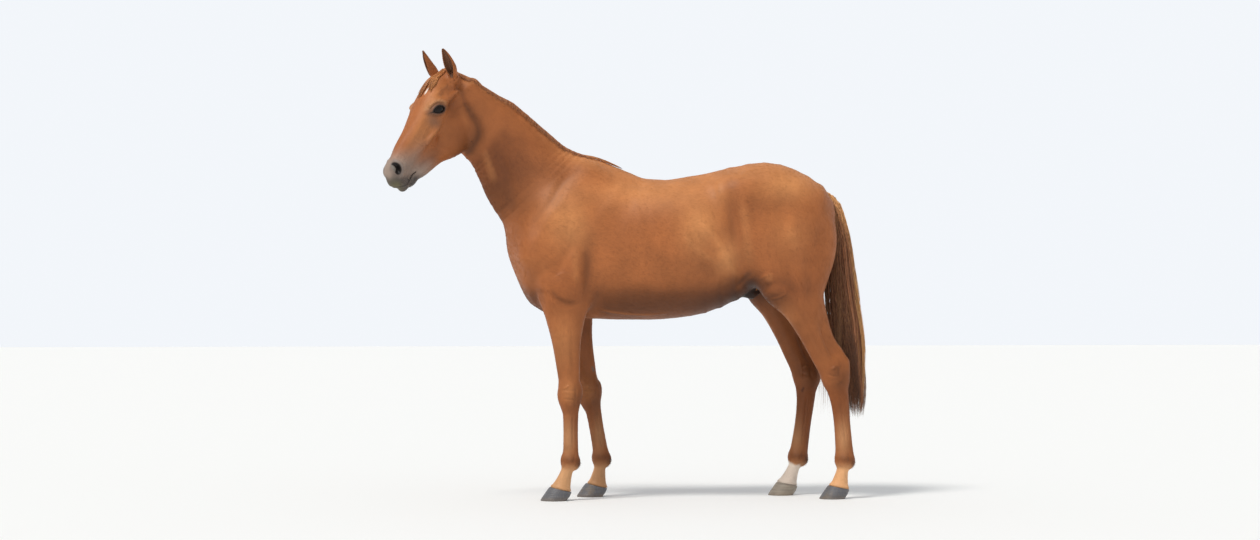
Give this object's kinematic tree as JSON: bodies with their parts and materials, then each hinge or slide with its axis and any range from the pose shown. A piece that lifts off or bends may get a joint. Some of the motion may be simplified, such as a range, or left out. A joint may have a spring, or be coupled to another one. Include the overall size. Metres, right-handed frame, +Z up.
{
  "type": "horse",
  "caption": "Life-size standing chestnut riding horse, ears forward, head turned slightly to its left, short mane and full tail, as a still display model.",
  "frame": {"origin": "on the floor under the middle of the body's length and width", "axes": "+Z up, -X towards the head, -Y towards the horse's left side"},
  "size_m": [2.3705, 0.5904, 2.176],
  "materials": {
    "coat": "short satin chestnut coat",
    "hair": "long coarse reddish-brown hair",
    "hoof": "worn grey horn",
    "eye": "wet dark eye"
  },
  "bodies": {
    "root": {"trunk": "coat", "neck": "coat", "head": "coat", "forearm_left": "coat", "forearm_right": "coat", "fore_shank_left": "coat", "fore_shank_right": "coat", "gaskin_left": "coat", "gaskin_right": "coat", "hind_shank_left": "coat", "hind_shank_right": "coat", "ear_left": "coat", "ear_right": "coat", "mane": "hair", "forelock": "hair", "tail": "hair", "hoof_fore_left": "hoof", "hoof_fore_right": "hoof", "hoof_hind_left": "hoof", "hoof_hind_right": "hoof", "eye_left": "eye", "eye_right": "eye"}
  },
  "joints": []
}
